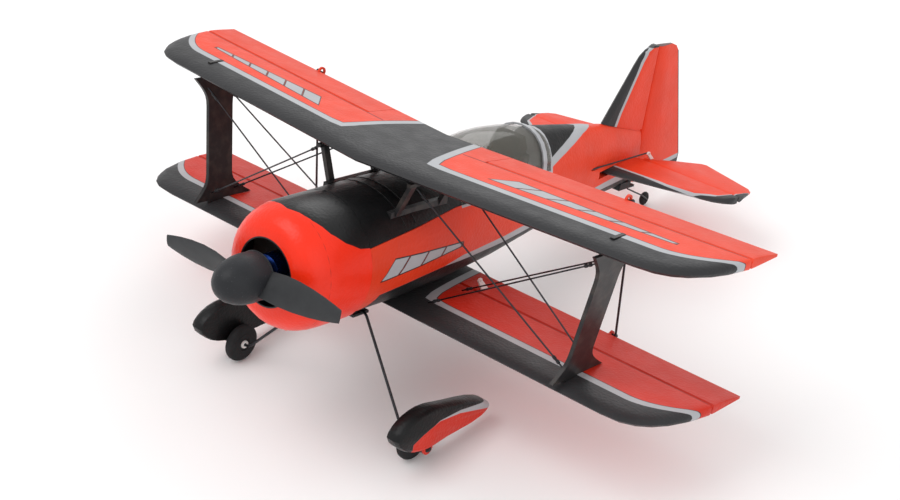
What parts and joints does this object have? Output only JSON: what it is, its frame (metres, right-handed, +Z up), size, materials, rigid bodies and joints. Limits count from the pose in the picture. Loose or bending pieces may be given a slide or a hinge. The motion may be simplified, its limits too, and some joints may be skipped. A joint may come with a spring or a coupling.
{
  "type": "radio controlled biplane",
  "caption": "Ultra-micro foam aerobatic model biplane with working control surfaces, spinning propeller, steerable tail wheel and wire landing gear with wheel spats.",
  "frame": {"origin": "on the ground plane under the centre of the bounding box, the model standing on its two main wheels and tail wheel", "axes": "+Y towards the tail along the fuselage, +X towards the port wing tip, +Z up"},
  "size_m": [0.378, 0.4028, 0.141],
  "materials": {
    "foam_wing": "satin painted foam",
    "foam_body": "satin painted foam",
    "hood_black": "satin",
    "black_plastic": "satin",
    "wire_steel": "dark drawn wire",
    "carbon": "satin",
    "smoke_glass": "gloss",
    "silver_trim": "satin",
    "white_plastic": "satin",
    "tyre_foam": "matte",
    "pant_shell": "satin",
    "motor_blue": "satin",
    "motor_metal": "satin",
    "battery_wrap": "satin",
    "circuit_board": "satin"
  },
  "bodies": {
    "airframe": {"top_wing": "foam_wing", "lower_wing": "foam_wing", "fuselage": "foam_body", "cowl": "foam_body", "fin": "foam_body", "stabilizer": "foam_body", "hood": "hood_black", "belly_hatch": "hood_black", "interplane_strut_left": "black_plastic", "interplane_strut_right": "black_plastic", "cabane_left": "black_plastic", "cabane_right": "black_plastic", "gear_plate": "black_plastic", "seat": "black_plastic", "instrument_panel": "black_plastic", "aileron_servo": "black_plastic", "flying_wire_front_left": "wire_steel", "flying_wire_front_right": "wire_steel", "flying_wire_rear_left": "wire_steel", "flying_wire_rear_right": "wire_steel", "landing_wire_front_left": "wire_steel", "landing_wire_front_right": "wire_steel", "landing_wire_rear_left": "wire_steel", "landing_wire_rear_right": "wire_steel", "landing_gear": "wire_steel", "firewall": "carbon", "canopy": "smoke_glass", "canopy_bow": "silver_trim", "tail_bracket": "silver_trim", "wheel_pant_left": "pant_shell", "wheel_pant_right": "pant_shell", "motor_base": "motor_metal", "battery": "battery_wrap", "receiver": "circuit_board"},
    "ailerons_upper_left": {"aileron_top_left": "foam_wing"},
    "ailerons_upper_right": {"aileron_top_right": "foam_wing"},
    "ailerons_lower_left": {"aileron_lower_left": "foam_wing", "aileron_horn_left": "white_plastic"},
    "ailerons_lower_right": {"aileron_lower_right": "foam_wing", "aileron_horn_right": "white_plastic"},
    "link_left": {"link_rod_left": "carbon"},
    "link_right": {"link_rod_right": "carbon"},
    "rudder_unit": {"rudder": "foam_body", "rudder_horn": "white_plastic", "tail_wire": "wire_steel"},
    "tail_wheel": {"tail_tyre": "tyre_foam"},
    "elevator_unit": {"elevator_left": "foam_body", "elevator_right": "foam_body", "elevator_joiner": "carbon", "elevator_horn": "white_plastic"},
    "elevator_rod": {"elevator_pushrod": "carbon"},
    "rudder_rod": {"rudder_pushrod": "carbon"},
    "prop_unit": {"spinner": "black_plastic", "propeller": "black_plastic", "motor_shaft": "wire_steel", "motor_bell": "motor_blue"},
    "wheel_left": {"tyre_left": "tyre_foam", "hub_left": "white_plastic"},
    "wheel_right": {"tyre_right": "tyre_foam", "hub_right": "white_plastic"}
  },
  "joints": [
    {"name": "aileron_left", "type": "hinge", "parent": "airframe", "child": "ailerons_lower_left", "pos_m": [0.1, -0.05325, 0.04859], "axis": [1, 0, 0], "range_deg": [-28, 28]},
    {"name": "aileron_right", "type": "hinge", "parent": "airframe", "child": "ailerons_lower_right", "pos_m": [-0.1, -0.05325, 0.04859], "axis": [1, 0, 0], "range_deg": [-28.5, 28.5]},
    {"name": "aileron_upper_left", "type": "hinge", "parent": "airframe", "child": "ailerons_upper_left", "pos_m": [0.1, -0.04871, 0.12798], "axis": [0.9928, 0.1179, -0.0229], "range_deg": [-31.5, 31.5]},
    {"name": "aileron_upper_right", "type": "hinge", "parent": "airframe", "child": "ailerons_upper_right", "pos_m": [-0.1, -0.04871, 0.12798], "axis": [0.9928, -0.1179, 0.0229], "range_deg": [-31.5, 31.5]},
    {"name": "link_pin_left", "type": "hinge", "parent": "ailerons_lower_left", "child": "link_left", "pos_m": [0.1075, -0.02557, 0.04322], "axis": [1, 0, 0], "range_deg": [-28.5, 28.5]},
    {"name": "link_pin_right", "type": "hinge", "parent": "ailerons_lower_right", "child": "link_right", "pos_m": [-0.1075, -0.02557, 0.04322], "axis": [1, 0, 0], "range_deg": [-28.5, 28.5]},
    {"name": "rudder_hinge", "type": "hinge", "parent": "airframe", "child": "rudder_unit", "pos_m": [0, 0.14776, 0.03932], "axis": [0, 0.1905, 0.9817], "range_deg": [-28, 28]},
    {"name": "tail_wheel_spin", "type": "hinge", "parent": "rudder_unit", "child": "tail_wheel", "pos_m": [0, 0.16557, 0.00459], "axis": [1, 0, 0], "continuous": true},
    {"name": "elevator_hinge", "type": "hinge", "parent": "airframe", "child": "elevator_unit", "pos_m": [0, 0.14222, 0.04436], "axis": [1, 0, 0], "range_deg": [-26, 26]},
    {"name": "elevator_rod_slide", "type": "slide", "parent": "airframe", "child": "elevator_rod", "axis": [0, 0.9817, -0.1905], "range_m": [-0.0035, 0.0035]},
    {"name": "rudder_rod_slide", "type": "slide", "parent": "airframe", "child": "rudder_rod", "axis": [0, 0.9817, -0.1905], "range_m": [-0.0056, 0.0056]},
    {"name": "propeller_spin", "type": "hinge", "parent": "airframe", "child": "prop_unit", "pos_m": [0, -0.18022, 0.10298], "axis": [0, 0.9817, -0.1905], "continuous": true},
    {"name": "wheel_left_spin", "type": "hinge", "parent": "airframe", "child": "wheel_left", "pos_m": [0.0632, -0.13194, 0.01059], "axis": [1, 0, 0], "continuous": true},
    {"name": "wheel_right_spin", "type": "hinge", "parent": "airframe", "child": "wheel_right", "pos_m": [-0.0632, -0.13194, 0.01059], "axis": [1, 0, 0], "continuous": true}
  ],
  "couplings": [
    {"joint": "aileron_right", "follows": "aileron_left", "ratio": -1},
    {"joint": "aileron_upper_left", "follows": "aileron_left", "ratio": 1.1},
    {"joint": "aileron_upper_right", "follows": "aileron_left", "ratio": -1.1},
    {"joint": "link_pin_left", "follows": "aileron_left", "ratio": -1},
    {"joint": "link_pin_right", "follows": "aileron_left", "ratio": 1},
    {"joint": "elevator_rod_slide", "follows": "elevator_hinge", "m_per_rad": -0.0065},
    {"joint": "rudder_rod_slide", "follows": "rudder_hinge", "m_per_rad": -0.0105}
  ]
}
